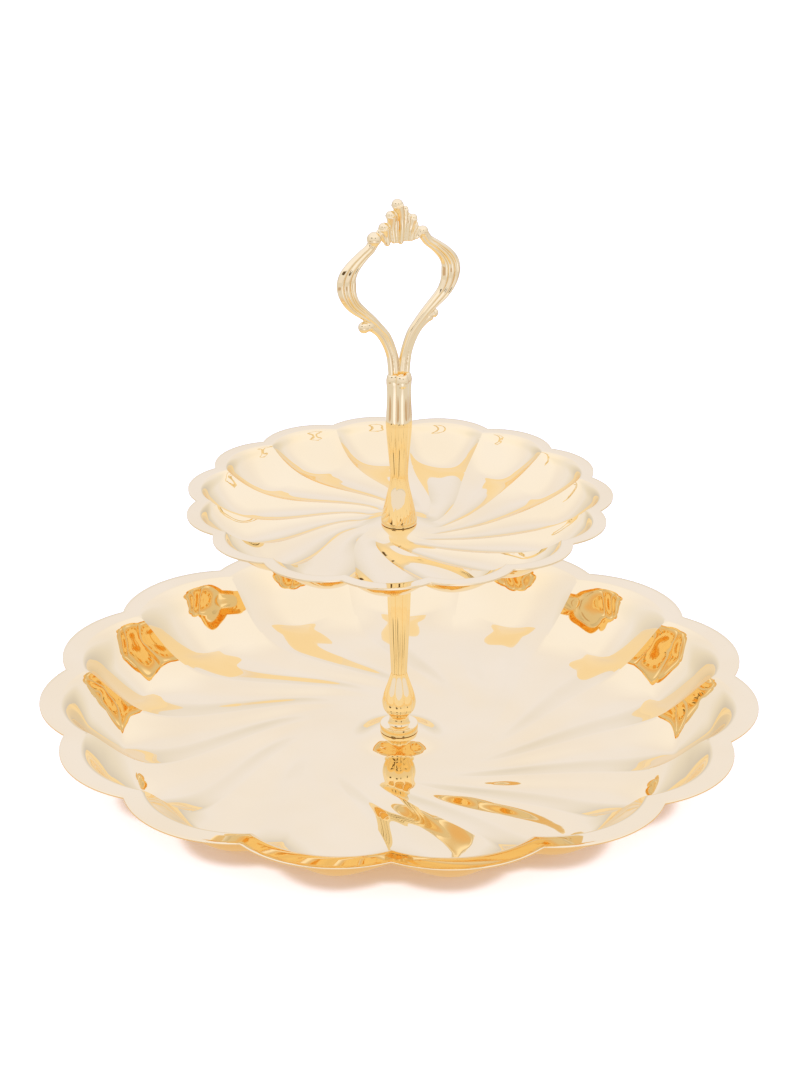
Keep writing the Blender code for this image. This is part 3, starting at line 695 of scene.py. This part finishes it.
def studio_floor():
    """White floor whose glow lights the stand from in front; where the stand meets it, real shadow
    and a painted contact shadow in the glow darken it.
    """
    s = FLOOR_HALF
    corners = [(-s, -s, 0), (s, -s, 0), (s, s, 0), (-s, s, 0)]
    mesh = mesh_from("studio_floor", corners, [(0, 1, 2, 3)])
    material, tree, shader = new_material("white_floor")
    set_inputs(shader, Roughness=0.9, Specular_IOR_Level=0.0, Emission_Strength=1.0)
    where = tree.nodes.new("ShaderNodeTexCoord").outputs["Object"]
    glow = FLOOR_GLOW
    for x, y, wide, deep, colour in FLOOR_CARDS:
        edge = outside(tree, where, (x, y, 0.0), (1.0 / wide, 1.0 / deep, 0.0), 0.7, 1.3)
        glow = blend(tree, edge, colour, glow)
    seen = tree.nodes.new("ShaderNodeLightPath").outputs["Is Camera Ray"]
    # Painted contact shadow: ambient occlusion near the stand darkens the glow that the camera sees
    contact = set_inputs(tree.nodes.new("ShaderNodeAmbientOcclusion"), Distance=CONTACT_REACH)
    shade = map_range(tree, contact.outputs["AO"], True, From_Min=0.38, From_Max=0.80)
    painted_shadow = blend(tree, shade, PAINTED_CONTACT_SHADOW, SEEN_WHITE)
    tree.links.new(blend(tree, seen, glow, painted_shadow), shader.inputs["Emission Color"])
    tree.links.new(blend(tree, seen, FLOOR_PAINT, SEEN_PAINT), shader.inputs["Base Color"])
    link("studio_floor", mesh, material, None)


# Light by the sine of its elevation
FRONT_LIGHT = [(0.0, (0.90, 0.90, 1.10)), (0.20, (0.88, 0.90, 1.12)), (0.40, (0.90, 0.94, 1.14)),
               (0.56, (1.04, 1.07, 1.33)), (0.72, (1.04, 1.09, 1.42)), (0.90, (1.00, 1.06, 1.42))]
BACK_LIGHT = [(0.0, (0.66, 0.67, 0.79)), (0.25, (0.84, 0.87, 1.07)), (0.42, (0.91, 0.97, 1.34)),
              (0.62, (0.93, 0.98, 1.33)), (0.85, (1.00, 1.06, 1.42))]
GAP_COLOUR = (0.12, 0.08, 0.04)
# Dark gaps between the lights: azimuth from the front and elevation in degrees, half width and
# half height on the unit sphere
DARK_GAPS = [(-34.0, 28.0, 0.24, 0.10), (27.0, 25.0, 0.10, 0.13)]


def studio_world():
    """White light, brightest overhead, dimmer and warmer low down, with two dark gaps in front."""
    world = bpy.data.worlds.new("studio")
    bpy.context.scene.world = world
    world.use_nodes = True
    tree = world.node_tree
    back = tree.nodes["Background"]
    set_inputs(back, Strength=1.0)
    where = tree.nodes.new("ShaderNodeTexCoord")
    split = tree.nodes.new("ShaderNodeSeparateXYZ")
    tree.links.new(where.outputs["Generated"], split.inputs[0])

    def ramp(levels):
        made = tree.nodes.new("ShaderNodeValToRGB")
        stops = made.color_ramp.elements
        while len(stops) < len(levels):
            stops.new(0.5)
        for stop, (position, colour) in zip(stops, levels):
            stop.position = position
            stop.color = (*colour, 1.0)
        tree.links.new(split.outputs["Z"], made.inputs["Fac"])
        return made.outputs["Color"]

    depth = map_range(tree, split.outputs["Y"], True, From_Min=-0.35, From_Max=0.55)
    colour = blend(tree, depth, ramp(FRONT_LIGHT), ramp(BACK_LIGHT))
    for azimuth, elevation, wide, tall in DARK_GAPS:
        a, e = math.radians(azimuth), math.radians(elevation)
        gap = (math.sin(a) * math.cos(e), -math.cos(a) * math.cos(e), math.sin(e))
        scale = (1.0 / wide, 1.0 / wide, 1.0 / tall)
        edge = outside(tree, where.outputs["Generated"], gap, scale, 0.8, 1.2)
        colour = blend(tree, edge, GAP_COLOUR, colour)
    seen = tree.nodes.new("ShaderNodeLightPath").outputs["Is Camera Ray"]
    colour = blend(tree, seen, colour, (1.0, 1.0, 1.0))
    tree.links.new(colour, back.inputs["Color"])


# Focal length in mm, place in metres and degrees below the horizon
CAMERA_LENS, CAMERA_PLACE, CAMERA_FALL = 100.15, (0.00047, -1.3202, 0.6812 + LOWER_RIM), 24.6


def camera():
    """A camera on the stem's line, looking down on the stand from in front."""
    data = bpy.data.cameras.new("camera")
    data.lens = CAMERA_LENS
    data.sensor_width = 36.0
    obj = bpy.data.objects.new("camera", data)
    bpy.context.scene.collection.objects.link(obj)
    obj.location = CAMERA_PLACE
    obj.rotation_euler = (math.radians(90.0 - CAMERA_FALL), 0.0, 0.0)
    bpy.context.scene.camera = obj


studio_floor()
studio_world()
camera()
scene = bpy.context.scene
scene.view_settings.view_transform = "Standard"
# Enough bounces for gold that mirrors gold
scene.cycles.max_bounces = 16
scene.cycles.glossy_bounces = 12
scene.cycles.diffuse_bounces = 6
